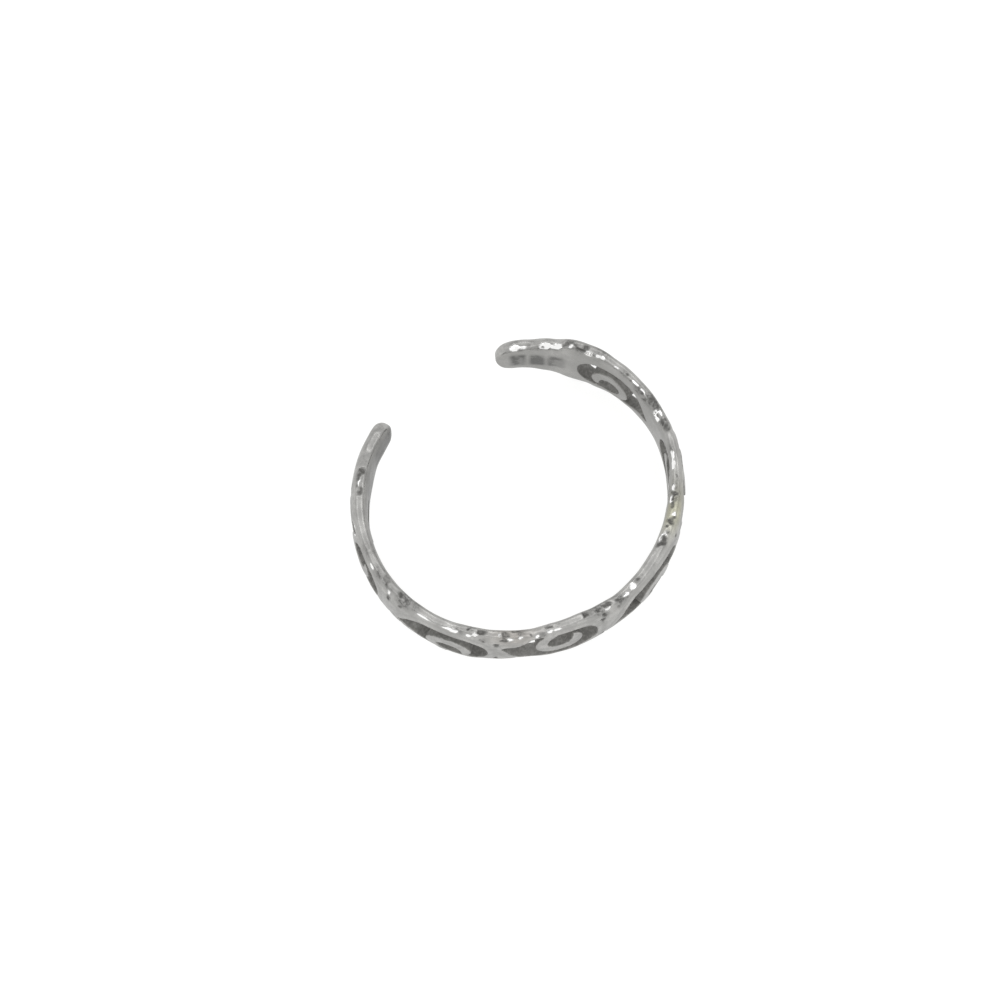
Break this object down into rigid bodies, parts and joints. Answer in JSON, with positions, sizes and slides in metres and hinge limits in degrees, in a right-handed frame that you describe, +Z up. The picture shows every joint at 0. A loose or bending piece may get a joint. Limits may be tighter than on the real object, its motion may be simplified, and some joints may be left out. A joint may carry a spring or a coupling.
{
  "type": "toe ring",
  "caption": "Open toe ring in cast silver: an oval band pierced with running scrolls, with plain round ends that spring apart to fit the toe.",
  "frame": {"origin": "middle of the box round the ring, on the surface that its edge lies on", "axes": "+Z up along the toe hole, +X along the long way of the ring, +Y towards the opening between the two ends, so the middle of the scroll band faces -Y"},
  "size_m": [0.0173, 0.0154, 0.0046],
  "materials": {
    "silver": "polished sterling silver, darkened in the piercings and dimples"
  },
  "bodies": {
    "root": {"ring_band": "silver"}
  },
  "joints": []
}
